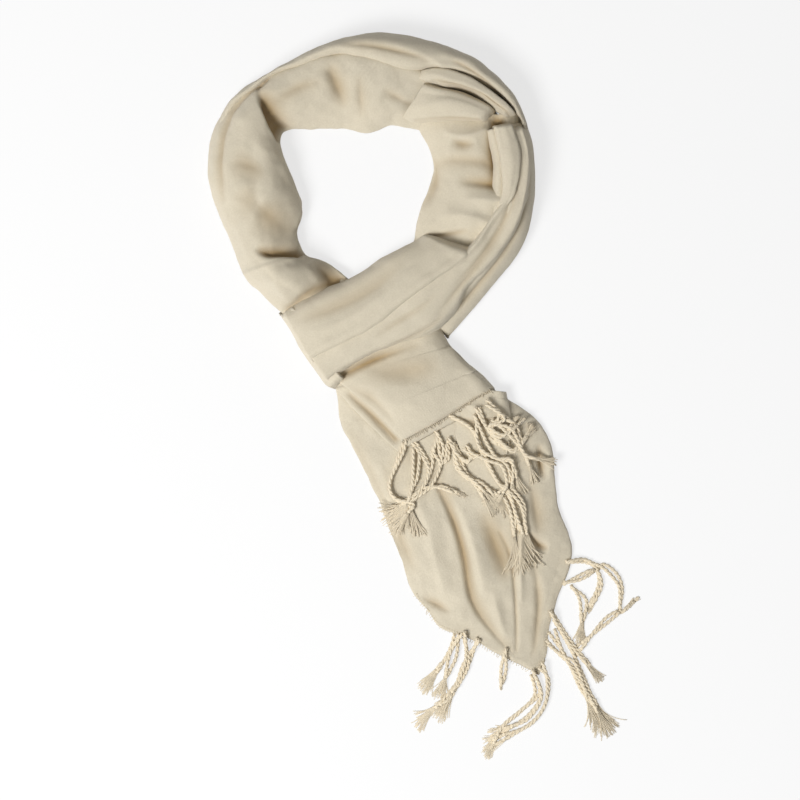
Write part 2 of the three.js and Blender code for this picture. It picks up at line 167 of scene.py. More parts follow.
yarnMaterial = clothFinish("fringeYarn", yarnLook)
print("materials ready")


# a smooth curve through every row of a table, read at t, counted in rows
def spline(rows, t):
    rows = np.asarray(rows, float)
    last = len(rows) - 1
    t = np.clip(np.asarray(t, float), 0, last)
    i = np.minimum(t.astype(int), last - 1)
    f = (t - i)[:, None]
    a, b, c, d = rows[np.maximum(i - 1, 0)], rows[i], rows[i + 1], rows[np.minimum(i + 2, last)]
    return b + 0.5 * f * (c - a + f * (2 * a - 5 * b + 4 * c - d + f * (3 * (b - c) + d - a)))


# the same curve at even distances
def evenly(rows, count, measure=slice(None)):
    fine = spline(rows, np.linspace(0, len(rows) - 1, 24 * len(rows)))
    steps = np.linalg.norm(np.diff(fine[:, measure], axis=0), axis=1)
    run = np.concatenate([[0], np.cumsum(steps)])
    wanted = np.linspace(0, run[-1], count)
    return np.stack([np.interp(wanted, run, column) for column in fine.T], axis=1)


def smoothStep(low, high, x):
    t = np.clip((x - low) / (high - low), 0, 1)
    return t * t * (3 - 2 * t)


loopCentre = np.array([-48.8, 162.5])  # middle of the neck hole, millimetres from the part's origin
planShift = np.array([0.2, -1.5])  # the tables' zero, from the part's origin
heightAt = np.array([0.1, 0.3, 0.5, 0.7, 0.9])  # where across a stretch its heights are given
widestAt = 0.45  # how far up a rounded edge is widest
grain = 1.3  # spacing of a sheet's points, millimetres
creaseSharpness = 1.6
clothThickness = 0.9 * mm
swaySizes = [(34, 1.6), (13, 1.0), (6, 0.4)]  # size and lift of the uneven swells, millimetres


def aroundLoop(degrees, radius):
    angle = np.radians(degrees)
    return np.stack([loopCentre[0] + radius * np.cos(angle), loopCentre[1] + radius * np.sin(angle)], axis=-1)


# both edges of each row as points in plan, then the underside and the heights
def planRows(sheet):
    rows = np.array(sheet["rows"], float)
    if sheet.get("loop"):
        inner = aroundLoop(rows[:, 0], rows[:, 1])
        outer = aroundLoop(rows[:, 2], rows[:, 3])
        return np.hstack([inner, outer, rows[:, 4:]])
    rows[:, 0:2] += planShift
    rows[:, 2:4] += planShift
    across = rows[:, 2:4] - rows[:, 0:2]
    across = across / np.linalg.norm(across, axis=1, keepdims=True)
    rows[:, 0:2] -= across * sheet.get("spreadIn", 0)
    rows[:, 2:4] += across * sheet.get("spreadOut", 0)
    return rows


# how far each point is from a polyline, on which side, and how far along it
def besideLine(points, line):
    best = np.full(len(points), 1e9)
    side = np.zeros(len(points))
    along = np.zeros(len(points))
    for index in range(len(line) - 1):
        start, step = line[index, :2], line[index + 1, :2] - line[index, :2]
        offset = points - start
        t = np.clip(offset @ step / max(step @ step, 1e-9), 0, 1)
        gap = np.linalg.norm(offset - t[:, None] * step, axis=1)
        near = gap < best
        best = np.where(near, gap, best)
        side = np.where(near, step[0] * offset[:, 1] - step[1] * offset[:, 0], side)
        along = np.where(near, index + t, along)
    return best, side > 0, along


# a crease is a row of points with its lift, and a width to its left and to its right
def creaseLift(points, crease):
    control = np.array(crease["line"], float)
    control[:, :2] += planShift
    line = evenly(control, 8 * len(control), slice(0, 2))
    gap, onLeft, along = besideLine(points, line)
    lift = np.interp(along, np.arange(len(line)), line[:, 2])
    width = np.where(onLeft, crease["left"], crease["right"])
    return lift * np.exp(-(gap / width) ** creaseSharpness)


def noiseAt(points, size, seed):
    shift = Vector((seed * 7.13, seed * 3.71, seed * 1.93))
    return np.array([noise.noise(Vector(point) / size + shift) for point in points])


def normalsOf(grid):
    across = np.gradient(grid, axis=1)
    along = np.gradient(grid, axis=0)
    normals = np.cross(across, along)
    normals /= np.maximum(np.linalg.norm(normals, axis=2, keepdims=True), 1e-9)
    return normals if normals[:, :, 2].mean() > 0 else -normals


# the top of what is already laid, looked for straight down
def surfaceBelow(trees, x, y):
    top = 0.0
    for tree in trees:
        hit = tree.ray_cast(Vector((x * mm, y * mm, 0.2)), Vector((0, 0, -1)))[0]
        if hit is not None:
            top = max(top, hit.z / mm)
    return top


laid = {}


def treeOf(piece):
    depsgraph = bpy.context.evaluated_depsgraph_get()
    return BVHTree.FromObject(piece, depsgraph)


def sectionOf(row, bases, tuck):
    inner, outer, heights = row[0:2], row[2:4], row[5:]
    width = np.linalg.norm(outer - inner)
    tuck = min(tuck, width * 0.3)
    low, high = bases
    flat = [(tuck, low), (0, low + widestAt * (heights[0] - low))]
    flat += [(place * width, height) for place, height in zip(heightAt, heights)]
    flat += [(width, high + widestAt * (heights[-1] - high)), (width - tuck, high)]
    return np.array(flat), (outer - inner) / width


def sheetGrid(sheet):
    rows = planRows(sheet)
    middle = (rows[:, 0:2] + rows[:, 2:4]) / 2
    length = np.linalg.norm(np.diff(middle, axis=0), axis=1).sum()
    alongCount = int(length / grain) + 1
    stations = evenly(np.hstack([middle, rows]), alongCount, slice(0, 2))[:, 2:]
    girth = np.linalg.norm(rows[:, 0:2] - rows[:, 2:4], axis=1).max() + 1.5 * rows[:, 5:].mean()
    acrossCount = int(girth / grain) + 1
    trees = [laid[other] for other in sheet.get("liesOn", [])]
    grid = np.zeros((alongCount, acrossCount, 3))
    for index, row in enumerate(stations):
        bases = [max(row[4], 0)] * 2
        if trees:
            bases = [surfaceBelow(trees, *row[0:2]) + 0.5, surfaceBelow(trees, *row[2:4]) + 0.5]
        closing = 1.0
        for end, gap in (("closeStart", index), ("closeEnd", alongCount - 1 - index)):
            if sheet.get(end):
                reach = min(gap * grain / sheet[end], 1)
                closing *= math.sqrt(1 - (1 - reach) ** 2)
        if closing < 1:
            row = row.copy()
            floor = np.interp(heightAt, [0, 1], bases) + 0.8
            row[5:] = floor + (row[5:] - floor) * closing
        section, across = sectionOf(row, bases, sheet.get("tuck", 3))
        curve = evenly(section, acrossCount)
        grid[index, :, 0:2] = row[0:2] + curve[:, 0:1] * across
        grid[index, :, 2] = curve[:, 1]
    return grid


def shapeGrid(grid, sheet):
    shape = grid.shape
    normals = normalsOf(grid)
    plan = grid[:, :, 0:2].reshape(-1, 2)
    lift = np.zeros(len(plan))
    for crease in sheet.get("creases", []):
        lift += creaseLift(plan, crease)
    upward = smoothStep(-0.2, 0.5, normals[:, :, 2]).reshape(-1)
    lift *= upward
    # painted shade mask: the deeper a trough, the more painted crease shade its colour gets
    paintedCreaseShade = np.clip(-lift / 7, 0, 1).reshape(shape[:2])
    seed = sheet.get("seed", 1)
    sway = sheet.get("sway", 1.0)
    flat = grid.reshape(-1, 3)
    for order, (size, share) in enumerate(swaySizes):
        lift += sway * share * noiseAt(flat, size, seed + 5 * order)
    grid = grid + normals * lift.reshape(shape[0], shape[1], 1)
    grid[:, :, 2] = np.maximum(grid[:, :, 2], 0.4)
    if sheet.get("liesOn"):
        trees = [laid[other] for other in sheet["liesOn"]]
        for row in grid:
            for point in row:
                point[2] = max(point[2], surfaceBelow(trees, point[0], point[1]) + 0.5)
    return grid, paintedCreaseShade


def distances(grid, axis):
    steps = np.linalg.norm(np.diff(grid, axis=axis), axis=2)
    start = np.zeros((grid.shape[0], 1)) if axis == 1 else np.zeros((1, grid.shape[1]))
    return np.concatenate([start, np.cumsum(steps, axis=axis)], axis=axis)


def laySheet(name, sheet, *nodes):
    grid, paintedCreaseShade = shapeGrid(sheetGrid(sheet), sheet)
    alongCount, acrossCount = grid.shape[:2]
    form = bmesh.new()
    bmesh.ops.create_grid(form, x_segments=acrossCount - 1, y_segments=alongCount - 1, size=0.5)
    uvLayer = form.loops.layers.uv.new("cloth")
    # each point carries its painted crease shade share to the cloth's colour
    paintedShadeLayer = form.verts.layers.float.new("paintedCreaseShade")
    across, along = distances(grid, 1) * mm, distances(grid, 0) * mm
    where = {}
    for vert in form.verts:
        i = round((vert.co.y + 0.5) * (alongCount - 1))
        j = round((vert.co.x + 0.5) * (acrossCount - 1))
        where[vert] = (i, j)
    for vert, (i, j) in where.items():
        vert.co = Vector(grid[i, j]) * mm
        vert[paintedShadeLayer] = paintedCreaseShade[i, j]
    for face in form.faces:
        face.smooth = True
        for loop in face.loops:
            i, j = where[loop.vert]
            loop[uvLayer].uv = (across[i, j], along[i, j])
    mesh = bpy.data.meshes.new(name)
    form.normal_update()
    if sum(face.normal.z * face.calc_area() for face in form.faces) < 0:
        bmesh.ops.reverse_faces(form, faces=form.faces)
    form.to_mesh(mesh)
    form.free()
    piece = bpy.data.objects.new(name, mesh)
    scene.collection.objects.link(piece)
    mesh.materials.append(clothMaterial)
    wall = piece.modifiers.new("wall", "SOLIDIFY")
    wall.thickness = clothThickness
    wall.offset = -1
    bpy.context.view_layer.update()
    laid[name] = treeOf(piece)
    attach(piece, "root")
    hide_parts(*nodes)
    return piece


underBand = {
    "rows": [
        [-104, 74, -70, 18, 0, 4, 5, 5, 5, 4],
        [-86, 82, -52, 30, 0, 4, 5, 5, 5, 4],
        [-64, 92, -20, 46, 0, 4, 5, 5, 5, 4],
        [-38, 108, 6, 58, 0, 4, 5, 5, 5, 4],
        [-14, 122, 18, 70, 0, 4, 5, 5, 5, 4],
    ],
    "tuck": 1, "sway": 0.2,
}
laySheet("underBand", underBand, "under_band")


longTail = {
    "rows": [
        [-76, 40, 8, 56, 5.5, 9, 11, 12, 11, 9],
        [-69, 4, 52, 12, 3, 8, 9, 10, 10, 8],
        [-66, -17, 86, -13, 0, 7, 9, 10, 11, 8],
        [-55, -38, 101, -36, 0, 7, 9, 10, 12, 8],
        [-43, -64, 104, -60, 0, 7, 9, 10, 12, 8],
        [-35, -81, 107, -86, 0, 7, 9, 11, 12, 8],
        [-27, -104, 117, -112, 0, 6, 9, 12, 11, 8],
        [-17, -129, 116, -132, 0, 6, 8, 12, 10, 7],
        [-8, -155, 106, -160, 0, 5, 8, 10, 9, 6],
        [2, -168, 100, -186, 0, 5, 7, 8, 7, 6],
        [14, -182, 98, -206, 0, 4, 6, 6, 6, 5],
        [30, -188, 92, -220, 0, 4, 5, 5, 5, 4],
    ],
    "tuck": 2, "sway": 0.9, "seed": 4, "closeEnd": 4,
    "creases": [  # x, y and lift of each point, then its reach to the left and right of the line
        {"line": [[8, -62, -1], [23, -96, -4.5], [31, -124, -5], [37, -156, -4], [46, -174, -3],
                  [67, -199, -1]],
         "left": 6, "right": 2},
        {"line": [[24, -76, 0], [36, -106, 3], [45, -138, 2.5], [50, -160, 0]], "left": 6, "right": 5},
        {"line": [[46, -84, 0], [54, -108, -4], [62, -128, -4], [66, -146, 0]], "left": 9, "right": 7},
        {"line": [[61, -106, -1], [70, -128, -2], [74, -172, -2], [74, -200, -1]],
         "left": 1.4, "right": 1.4},
        {"line": [[78, -108, 2], [77, -137, 2.4], [78, -160, 1]], "left": 3, "right": 1.5},
        {"line": [[-2, -158, 0], [10, -164, -3], [22, -170, 0]], "left": 4, "right": 2.5},
        {"line": [[98, -32, 0], [100, -50, 3], [101, -66, 0]], "left": 4, "right": 2},
        {"line": [[92, -34, 0], [94, -50, -5], [96, -64, 0]], "left": 2, "right": 3},
        {"line": [[80, -104, 0], [92, -116, -5], [100, -118, 0]], "left": 3, "right": 3},
        {"line": [[-62, -20, 0], [-36, -70, -2], [-18, -112, -2.5], [-6, -140, 0]], "left": 5, "right": 8},
        {"line": [[-14, -60, 0], [2, -96, 2.2], [12, -136, 2], [22, -168, 0]], "left": 8, "right": 5},
        {"line": [[84, -60, 0], [90, -90, -3], [92, -112, 0]], "left": 6, "right": 4},
        {"line": [[86, -124, 0], [92, -156, -2.5], [90, -190, -2], [86, -208, 0]], "left": 3, "right": 3},
        {"line": [[54, -150, 0], [60, -172, 2.4], [66, -192, 0]], "left": 4, "right": 4},
        {"line": [[-50, -44, 0], [-28, -84, 1.5], [-14, -122, 0]], "left": 9, "right": 12},
    ],
}
laySheet("longTail", longTail, "long_tail_left", "long_tail_middle", "long_tail_right")

shortHemFlap = {
    "rows": [
        [32, 10, 66, 6, 9, 12, 13, 13, 13, 12],
        [28, -8, 69, -10, 9, 13, 14, 14, 13, 12],
        [25, -26, 70, -26, 9, 12, 13, 13, 13, 12],
        [30, -42, 66, -44, 9, 11, 12, 12, 12, 11],
    ],
    "tuck": 1, "sway": 0.4, "seed": 21, "liesOn": ["longTail"], "closeEnd": 3,
    "creases": [
        {"line": [[28, -14, 0], [44, -18, -3], [68, -12, 0]], "left": 1.4, "right": 3},
        {"line": [[36, -4, 1], [48, -8, 2], [62, -2, 1]], "left": 3, "right": 3},
    ],
}
laySheet("shortHemFlap", shortHemFlap, "short_hem_flap")

shortTailUnder = {
    "rows": [
        [-76, 34, 4, 62, 9.5, 12, 13, 13, 13, 12],
        [-73, 14, 18, 40, 9.5, 12, 13, 13, 13, 12],
        [-62, 0, 26, 28, 9.5, 12, 13, 13, 13, 12],
        [-50, -13, 36, 18, 9.5, 12, 13, 13, 13, 12],
        [-34, -29, 46, 8, 9.5, 12, 13, 13, 13, 12],
        [-20, -42, 54, -2, 9.5, 12, 13, 13, 13, 12],
    ],
    "tuck": 1, "sway": 0.3, "liesOn": ["longTail"], "closeEnd": 3,
    "creases": [
        {"line": [[-58, 3, -2], [-40, -14, -4], [-23, -32, -4]], "left": 2.5, "right": 2.5},
    ],
}
laySheet("shortTailUnder", shortTailUnder, "short_tail_under")

shortTail = {
    "rows": [
        [-82, 48, 0, 82, 13.5, 17, 20, 21, 20, 16],
        [-76, 30, 12, 60, 13.5, 18, 21, 21, 20, 17],
        [-71, 17, 20, 45, 13.5, 18, 21, 22, 21, 18],
        [-58, 7, 28, 34, 13.5, 18, 21, 20, 21, 18],
        [-42, -6, 39, 25, 13.5, 18, 20, 20, 20, 18],
        [-30, -20, 49, 17, 13.5, 17, 19, 19, 19, 17],
        [-17, -34, 57, 8, 13.5, 16, 17, 17, 17, 16],
    ],
    "tuck": 2, "sway": 0.5, "closeEnd": 3,
    "liesOn": ["longTail", "shortTailUnder"],
    "creases": [
        {"line": [[-54, 30, 0], [-30, 22, -2], [-4, 24, -2.2], [14, 32, 0]], "left": 11, "right": 9},
        {"line": [[-76, 11, -2], [-60, 21, -5], [-38, 32, -5], [-20, 39, -2], [0, 45, 0]],
         "left": 4, "right": 2.5},
        {"line": [[-64, 12, 0], [-44, 2, -1.6], [-30, -10, -1.2], [-22, -22, 0]], "left": 4, "right": 4},
        {"line": [[20, 40, 0], [34, 24, 1.8], [46, 12, 1]], "left": 5, "right": 5},
        {"line": [[-40, 4, 0], [-10, -4, 2], [28, 14, 0]], "left": 9, "right": 9},
    ],
}
laySheet("shortTail", shortTail, "short_tail")

rimFold = {
    "rows": [
        [6, 58, 20, 49, 0, 12, 13, 13, 12, 9],
        [16, 70, 33, 64, 0, 16, 17, 17, 15, 11],
        [28, 86, 46, 80, 0, 19, 21, 21, 18, 13],
        [44, 101, 61, 97, 0, 23, 25, 25, 22, 15],
        [58, 117, 75, 116, 0, 26, 27, 26, 23, 16],
        [70, 134, 84, 136, 0, 28, 28, 27, 24, 18],
        [77, 153, 88, 155, 0, 28, 28, 27, 24, 18],
        [80, 175, 89, 174, 0, 28, 28, 27, 24, 18],
        [79, 197, 88, 199, 0, 27, 27, 26, 23, 18],
        [74, 219, 82, 221, 0, 26, 26, 25, 22, 17],
    ],
    "tuck": 3, "sway": 0.5, "seed": 6, "spreadIn": 26, "closeStart": 6,
    "creases": [
        {"line": [[14, 62, 0], [36, 82, -2.5], [60, 110, -2.5], [76, 140, -2.5], [83, 176, -1]],
         "left": 2, "right": 2},
        {"line": [[30, 84, 0], [52, 108, 1.6], [70, 134, 1.8], [80, 170, 1.6], [78, 200, 0]],
         "left": 2, "right": 2},
    ],
}
laySheet("rimFold", rimFold, "rim_fold")

rightTurn = {
    "rows": [
        [-8, 229, 60, 227, 0, 12, 16, 18, 18, 18],
        [-3, 216, 60, 213, 0, 14, 20, 22, 23, 22],
        [5, 199, 63, 200, 0, 14, 21, 24, 24, 22],
        [8, 184, 66, 186, 0, 14, 21, 24, 25, 23],
        [4, 170, 68, 172, 0, 14, 22, 25, 27, 25],
        [-1, 157, 68, 160, 0, 14, 22, 26, 28, 28],
        [-4, 145, 62, 148, 0, 14, 22, 26, 28, 30],
        [-6, 134, 58, 138, 0, 14, 21, 26, 29, 31],
        [-9, 122, 50, 124, 0, 12, 16, 19, 21, 22],
        [-14, 108, 26, 104, 0, 10, 12, 13, 13, 12],
    ],
    "tuck": 5, "sway": 0.8, "seed": 7, "spreadOut": 18,
    "creases": [
        {"line": [[12, 216, 0], [31, 208, 3], [52, 215, 2]], "left": 4, "right": 3},
        {"line": [[6, 186, 0], [24, 190, -2], [48, 188, -2.5]], "left": 4, "right": 5},
        {"line": [[10, 146, 0], [30, 146, 2], [52, 140, 1]], "left": 4, "right": 5},
        {"line": [[22, 206, 0], [30, 203, -4], [42, 203, 0]], "left": 4, "right": 4},
        {"line": [[59, 220, -12], [58, 204, -14], [58, 186, -12], [60, 172, -8]], "left": 4, "right": 5},
        {"line": [[26, 174, 0], [48, 171, -5], [68, 169, -7]], "left": 5, "right": 4},
        {"line": [[28, 160, 0], [46, 158, 3], [66, 156, 2]], "left": 5, "right": 6},
        {"line": [[4, 129, -4], [22, 131, -3], [38, 134, 0]], "left": 2, "right": 2},
        {"line": [[56, 156, 0], [62, 143, -5], [69, 128, -4]], "left": 4, "right": 4},
        {"line": [[-2, 150, 0], [8, 172, -3], [8, 196, 0]], "left": 6, "right": 4},
    ],
}
laySheet("rightTurn", rightTurn, "right_turn")


loopLeft = {
    "loop": True,
    "rows": [
        [46, 70, 48, 107, 0, 9, 12, 14, 15, 15],
        [55, 64, 55, 112, 0, 12, 17, 20, 21, 21],
        [67, 59, 67, 112, 0, 14, 22, 26, 27, 26],
        [79, 51, 78, 112, 0, 14, 23, 28, 30, 28],
        [91, 48, 89, 114, 0, 14, 23, 28, 31, 29],
        [105, 53, 99, 117, 0, 14, 23, 28, 31, 29],
        [117, 58, 109, 118, 0, 14, 23, 29, 31, 28],
        [129, 66, 119, 118, 0, 15, 24, 29, 30, 26],
        [142, 79, 130, 122, 0, 18, 26, 29, 29, 23],
        [151, 73, 141, 127, 0, 22, 30, 33, 31, 22],
        [162, 61, 155, 129, 0, 24, 33, 36, 34, 24],
        [172, 54, 164, 127, 0, 24, 34, 37, 35, 25],
        [184, 50, 175, 122, 0, 24, 34, 37, 35, 25],
        [198, 51, 188, 116, 0, 23, 33, 35, 33, 23],
        [212, 60, 200, 112, 0, 20, 30, 33, 30, 20],
        [228, 66, 214, 114, 0, 20, 29, 33, 30, 20],
        [237, 62, 224, 113, 0, 19, 29, 33, 30, 19],
        [247, 62, 234, 113, 0, 17, 25, 28, 25, 16],
        [257, 66, 243, 118, 5.5, 14, 19, 21, 19, 13],
        [266, 74, 250, 126, 5.5, 12, 17, 19, 18, 12],
    ],
    "tuck": 6, "sway": 1.0, "seed": 9,
    "creases": [
        {"line": [[-131, 244, -2], [-126, 230, -9], [-120, 218, -10], [-114, 207, -8]],
         "left": 8, "right": 1.5},
        {"line": [[-134, 119, 0], [-125, 114, -8], [-113, 114.5, -9], [-98, 115, -8]],
         "left": 5, "right": 1.3},
        {"line": [[-125, 256, -3], [-145, 237, -3], [-154, 224, -3], [-160, 206, -3], [-161, 188, -3],
                  [-159, 159, -1]], "left": 2.5, "right": 3},
        {"line": [[-154, 189, 0], [-138, 184, -3], [-118, 178, 0]], "left": 8, "right": 9},
        {"line": [[-146, 168, 0], [-126, 148, -4], [-99, 128, 0]], "left": 10, "right": 12},
        {"line": [[-136, 214, 0], [-128, 196, 2], [-118, 170, 0]], "left": 9, "right": 7},
        {"line": [[-126, 108, 0], [-116, 94, 3], [-106, 76, 1]], "left": 9, "right": 7},
        {"line": [[-88, 112, 0], [-72, 98, -5], [-54, 88, -2]], "left": 7, "right": 7},
        {"line": [[-106, 72, -4], [-86, 86, -4], [-60, 96, -3]], "left": 4, "right": 4},
        {"line": [[-120, 232, 0], [-100, 246, -2.5], [-78, 252, 0]], "left": 4, "right": 5},
        {"line": [[-150, 140, 0], [-140, 118, 2], [-128, 100, 0]], "left": 6, "right": 6},
        {"line": [[-112, 176, 0], [-128, 158, 2.5], [-140, 132, 0]], "left": 7, "right": 7},
        {"line": [[-10, 240, 0], [-26, 230, 2], [-44, 226, 0]], "left": 5, "right": 4},
        {"line": [[-73, 258, -3], [-68, 246, -4], [-62, 230, 0]], "left": 6, "right": 5},
        {"line": [[-51, 252, -1], [-50, 238, -2], [-49, 222, 0]], "left": 4, "right": 3},
        {"line": [[-33, 246, 0], [-20, 238, -2.5], [-2, 231, -1]], "left": 3, "right": 4},
    ],
}
laySheet("loopLeft", loopLeft, "left_turn", "back_turn", "left_pillow")

backFlap = {
    "loop": True,
    "rows": [
        [62, 66, 60, 102, 0, 17, 24, 26, 27, 27],
        [52, 71, 53, 106, 0, 21, 27, 29, 29, 28],
        [43, 81, 46, 113, 0, 25, 29, 31, 30, 28],
        [35, 97, 38, 120, 0, 27, 31, 31, 30, 28],
        [29, 112, 31, 126, 0, 28, 31, 31, 30, 28],
    ],
    "tuck": 2, "sway": 0.5, "seed": 11, "closeEnd": 8,
    "creases": [
        {"line": [[-6, 221, -1], [20, 222, -2], [42, 220, -3], [56, 216, -2]], "left": 1.5, "right": 2.5},
        {"line": [[-10, 230, 0], [20, 236, 2], [48, 228, 1]], "left": 5, "right": 5},
    ],
}
laySheet("backFlap", backFlap, "back_flap")

secondRoll = {
    "loop": True,
    "rows": [
        [66, 99, 66, 105, 0, 26, 27, 27, 27, 26],
        [58, 102, 59, 116, 0, 29, 31, 32, 31, 29],
        [52, 105, 53, 122, 0, 30, 33, 33, 32, 30],
        [46, 112, 47, 126, 0, 31, 34, 34, 33, 31],
        [40, 118, 40, 130, 0, 31, 34, 34, 33, 31],
        [33, 123, 33, 135, 0, 30, 33, 33, 32, 30],
        [26, 131, 26, 139, 0, 28, 30, 31, 30, 28],
    ],
    "tuck": 2, "sway": 0.5, "seed": 12, "closeStart": 8, "closeEnd": 8,
    "creases": [
        {"line": [[8, 252, -1], [24, 247, -4], [48, 238, -4], [68, 224, -2]], "left": 2, "right": 2},
    ],
}
laySheet("secondRoll", secondRoll, "second_roll")

outerRoll = {
    "loop": True,
    "rows": [
        [186, 108, 186, 114, 0, 6, 7, 8, 7, 5],
        [168, 117, 168, 125, 0, 11, 13, 14, 13, 9],
        [148, 121, 148, 129, 0, 16, 19, 20, 19, 14],
        [136, 118, 136, 124, 0, 19, 22, 23, 21, 16],
        [126, 116, 126, 121, 0, 21, 25, 26, 24, 18],
        [116, 110, 117, 120, 0, 24, 28, 29, 27, 20],
        [108, 110, 108, 121, 0, 26, 30, 31, 28, 21],
        [100, 110, 100, 123, 0, 27, 32, 33, 30, 22],
        [92, 105, 91, 126, 0, 29, 34, 35, 32, 23],
        [84, 102, 83, 129, 0, 31, 35, 36, 33, 24],
        [74, 100, 74, 131, 0, 31, 35, 36, 33, 24],
        [66, 104, 66, 133, 0, 30, 34, 35, 32, 24],
        [58, 116, 58, 136, 0, 30, 33, 34, 31, 24],
        [50, 123, 50, 140, 0, 30, 33, 33, 30, 24],
        [42, 128, 42, 142, 0, 29, 32, 32, 29, 24],
        [34, 134, 34, 144, 0, 28, 30, 30, 28, 23],
        [26, 138, 26, 143, 0, 26, 27, 27, 25, 22],
        [21, 137, 21, 142, 0, 24, 25, 25, 24, 21],
    ],
    "tuck": 4, "sway": 0.6, "seed": 13, "closeStart": 10, "closeEnd": 6,
    "creases": [
        {"line": [[-68, 281, 0], [-40, 279, -3], [-7, 272, -3], [13, 264, 0]], "left": 3, "right": 3},
        {"line": [[-66, 270, 0], [-46, 265, -3], [-28, 261, -4], [-12, 250, -4]], "left": 1.5, "right": 4},
        {"line": [[-35, 284, 0], [11, 266, 2.5], [45, 245, 2.5], [71, 224, 0]], "left": 3, "right": 2.5},
        {"line": [[20, 268, 0], [33, 262, -3], [61, 239, -3], [77, 216, -3], [84, 184, -1]],
         "left": 1.6, "right": 2},
    ],
}
laySheet("outerRoll", outerRoll, "outer_roll")

rightRoll = {
    "rows": [
        [54, 218, 70, 221, 0, 32, 34, 35, 34, 32],
        [57, 200, 78, 198, 0, 33, 36, 37, 36, 33],
        [60, 185, 78, 184, 0, 33, 36, 37, 36, 33],
        [61, 172, 76, 171, 0, 32, 35, 36, 35, 33],
        [60, 160, 72, 160, 0, 31, 33, 34, 34, 33],
        [54, 148, 63, 149, 0, 29, 31, 33, 33, 32],
    ],
    "tuck": 2, "sway": 0.5, "seed": 14, "closeStart": 5, "closeEnd": 8,
}
laySheet("rightRoll", rightRoll, "right_roll")

bandTurn = {
    "rows": [
        [-104, 76, -115, 68, 0, 25, 24, 22, 19, 14],
        [-92, 60, -104, 51, 0, 28, 28, 26, 22, 16],
        [-86, 48, -98, 40, 0, 29, 29, 27, 23, 17],
        [-76, 34, -88, 26, 0, 28, 28, 26, 22, 16],
        [-67, 22, -78, 12, 0, 25, 24, 23, 19, 13],
        [-61, 16, -70, 8, 0, 22, 21, 19, 16, 11],
    ],
    "tuck": 3, "sway": 0.5, "seed": 15, "closeStart": 5, "closeEnd": 6,
}
laySheet("bandTurn", bandTurn, "band_turn")

bandLower = {
    "rows": [
        [-86, 29, -76, 15, 0, 28, 29, 29, 28, 26],
        [-64, 43, -58, 26, 0, 31, 32, 32, 30, 27],
        [-41, 55, -36, 37, 0, 32, 33, 33, 31, 27],
        [-20, 71, -13, 44, 0, 33, 34, 34, 32, 27],
        [-2, 85, 7, 52, 0, 34, 35, 34, 32, 26],
        [14, 97, 25, 68, 0, 34, 34, 33, 31, 27],
        [30, 107, 35, 88, 0, 34, 33, 32, 31, 28],
        [44, 121, 50, 102, 0, 34, 32, 32, 31, 29],
        [54, 136, 63, 117, 0, 33, 31, 31, 31, 30],
        [64, 148, 74, 135, 0, 33, 32, 32, 32, 31],
        [74, 160, 80, 153, 0, 33, 33, 32, 32, 31],
        [79, 180, 84, 175, 0, 33, 33, 32, 32, 30],
        [79, 197, 84, 197, 0, 33, 32, 32, 31, 30],
        [72, 219, 78, 220, 0, 33, 32, 31, 30, 29],
    ],
    "tuck": 2, "sway": 0.5, "seed": 16, "spreadIn": 8, "closeEnd": 8,
    "creases": [
        {"line": [[-40, 48, 0], [-23, 60, -1.6], [-3, 72, -1.2], [10, 84, 0]], "left": 2, "right": 2},
        {"line": [[22, 88, 0], [44, 112, -2], [62, 140, -2.4], [74, 172, -2], [76, 200, 0]],
         "left": 1.5, "right": 2.5},
        {"line": [[-66, 22, 0], [-30, 38, -1.2], [4, 56, -1.4], [20, 72, 0]], "left": 2.5, "right": 1.5},
        {"line": [[10, 66, 0], [28, 88, -1.6], [48, 112, -1.4], [66, 140, 0]], "left": 2, "right": 2},
    ],
}
laySheet("bandLower", bandLower, "band_lower")

bandUpper = {
    "rows": [
        [-111, 69, -89, 31, 0, 27, 30, 31, 32, 31],
        [-97, 79, -75, 38, 0, 28, 32, 33, 34, 33],
        [-80, 88, -58, 46, 0, 28, 33, 34, 35, 34],
        [-63, 95, -40, 56, 0, 28, 33, 35, 36, 35],
        [-46, 104, -20, 72, 0, 27, 32, 35, 37, 36],
        [-31, 114, -2, 86, 0, 26, 32, 35, 37, 37],
        [-16, 122, 13, 97, 0, 24, 31, 34, 36, 37],
        [-5, 128, 28, 107, 0, 22, 29, 33, 35, 36],
        [1, 133, 43, 121, 0, 22, 27, 31, 34, 36],
    ],
    "tuck": 3, "sway": 0.5, "seed": 17, "closeEnd": 9, "spreadOut": 3,
    "creases": [
        {"line": [[-104, 62, 0], [-76, 70, -2], [-40, 88, -2], [-14, 112, 0]], "left": 7, "right": 5},
        {"line": [[-90, 52, 0], [-62, 62, 1.8], [-30, 84, 1.5], [0, 112, 0]], "left": 5, "right": 5},
    ],
}
laySheet("bandUpper", bandUpper, "band_upper")

# fringe: two-ply strands as routes in plan, each with a brush of loose ends if it has one
fringeSizes = {"ply": 0.95, "twist": 0.65, "pitch": 8.5, "step": 1.1, "sides": 6,
               "fibre": 0.25, "hairs": 36, "pairStray": 2.6}

